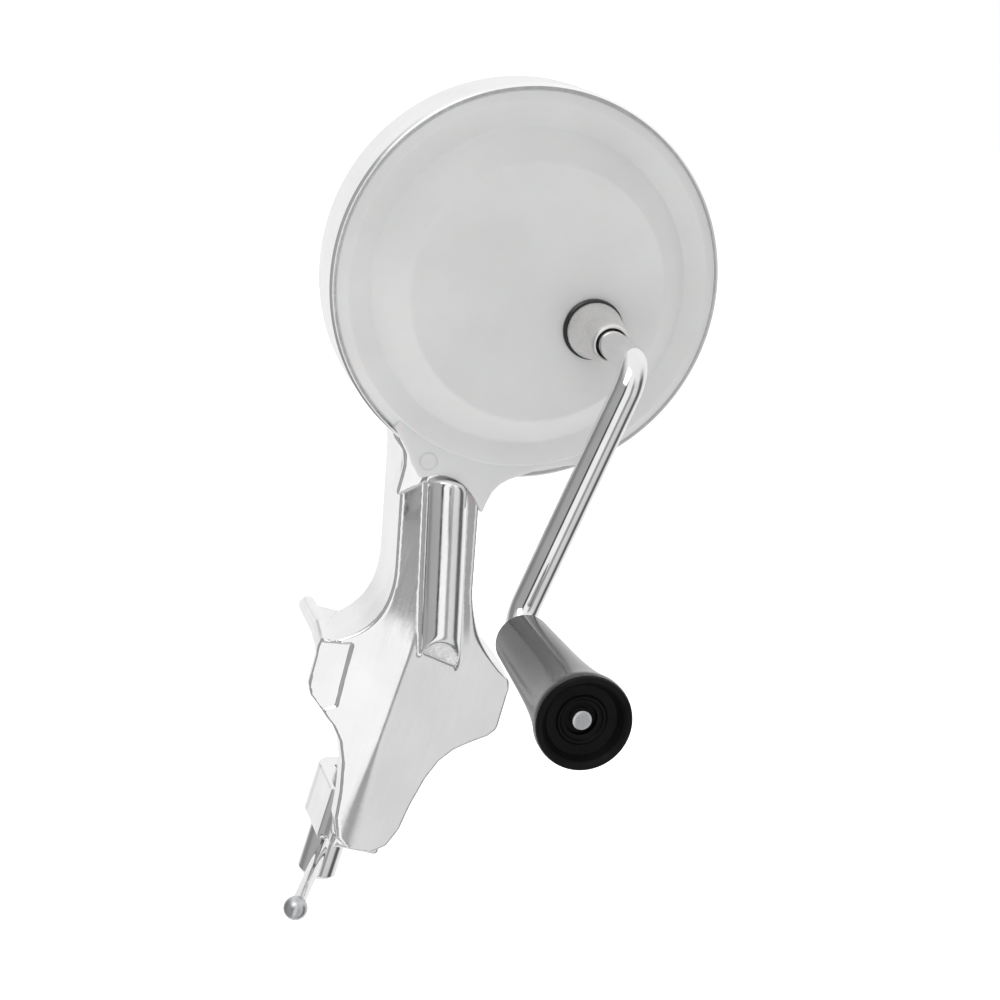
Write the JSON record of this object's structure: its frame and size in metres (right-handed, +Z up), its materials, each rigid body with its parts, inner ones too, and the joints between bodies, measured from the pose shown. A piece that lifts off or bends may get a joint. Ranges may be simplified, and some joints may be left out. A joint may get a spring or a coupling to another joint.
{
  "type": "ball winder",
  "caption": "Hand-cranked yarn ball winder: gear drum on a leaning neck with a table clamp, offset crank with grip, and a tilted geared yarn cone behind.",
  "frame": {"origin": "centre of the upper jaw's clamping face, on the clamp screw's axis", "axes": "+Z up along the clamp screw, +Y away from the crank side, +X across the jaw to the right seen from the crank side"},
  "size_m": [0.1193, 0.2431, 0.2541],
  "materials": {
    "cast_metal": "polished plated die casting",
    "cover_plastic": "matte moulded plastic",
    "plated_steel": "bright plated steel",
    "black_plastic": "glossy black moulded plastic",
    "nickel": "turned nickel-plated steel",
    "zinc_steel": "zinc-plated steel",
    "bronze": "sintered bronze",
    "gear_plastic": "natural acetal",
    "cone_plastic": "matte moulded plastic"
  },
  "bodies": {
    "frame": {"body_casting": "cast_metal", "gear_cover": "cover_plastic", "cover_rivet": "cover_plastic", "hub_bush": "black_plastic", "rear_bush": "bronze", "spindle_bush": "bronze", "fixed_bevel": "gear_plastic", "bevel_screws": "zinc_steel", "guide_socket": "cast_metal", "guide_screws": "zinc_steel"},
    "crank": {"crank_rod": "plated_steel", "crank_ferrule": "nickel", "crank_pins": "zinc_steel", "drive_gear": "gear_plastic", "grip_pin": "zinc_steel"},
    "handle": {"grip": "black_plastic"},
    "winding_head": {"spindle_shaft": "zinc_steel", "spindle_pinion": "gear_plastic", "spindle_clip": "zinc_steel", "rotor": "cast_metal", "rotor_screw": "zinc_steel"},
    "cone": {"yarn_cone": "cone_plastic", "cone_axle": "zinc_steel", "cone_bevel": "gear_plastic", "cone_nut": "zinc_steel"},
    "guide": {"guide_wire": "plated_steel"},
    "foot": {"pressure_pad": "zinc_steel"},
    "screw": {"clamp_screw": "plated_steel"},
    "bar": {"tommy_bar": "plated_steel", "tommy_balls": "zinc_steel"}
  },
  "joints": [
    {"name": "crank_turn", "type": "hinge", "parent": "frame", "child": "crank", "pos_m": [0.0133, -0.035, 0.1126], "axis": [0, 1, 0], "continuous": true},
    {"name": "grip_spin", "type": "hinge", "parent": "crank", "child": "handle", "pos_m": [0.0035, -0.135, 0.0355], "axis": [0, 1, 0], "continuous": true},
    {"name": "head_spin", "type": "hinge", "parent": "frame", "child": "winding_head", "pos_m": [-0.02441, -0.035, 0.12391], "axis": [0, 1, 0], "continuous": true},
    {"name": "cone_spin", "type": "hinge", "parent": "winding_head", "child": "cone", "pos_m": [-0.02441, 0.039, 0.12391], "axis": [0, 0.8829, -0.4695], "continuous": true},
    {"name": "guide_swivel", "type": "hinge", "parent": "frame", "child": "guide", "pos_m": [0.0333, -0.035, 0.106], "axis": [0, 1, 0], "range_deg": [-60, 60]},
    {"name": "clamp_travel", "type": "slide", "parent": "frame", "child": "foot", "axis": [0, 0, 1], "range_m": [-0.03, 0]},
    {"name": "screw_turn", "type": "hinge", "parent": "foot", "child": "screw", "pos_m": [0, 0, -0.07], "axis": [0, 0, 1], "range_deg": [-8700, 60]},
    {"name": "bar_slide", "type": "slide", "parent": "screw", "child": "bar", "axis": [-0.3256, -0.9455, 0], "range_m": [-0.0475, 0]}
  ],
  "couplings": [
    {"joint": "head_spin", "follows": "crank_turn", "ratio": -4},
    {"joint": "cone_spin", "follows": "crank_turn", "ratio": -3.8},
    {"joint": "screw_turn", "follows": "clamp_travel", "rad_per_m": 5026.5}
  ]
}
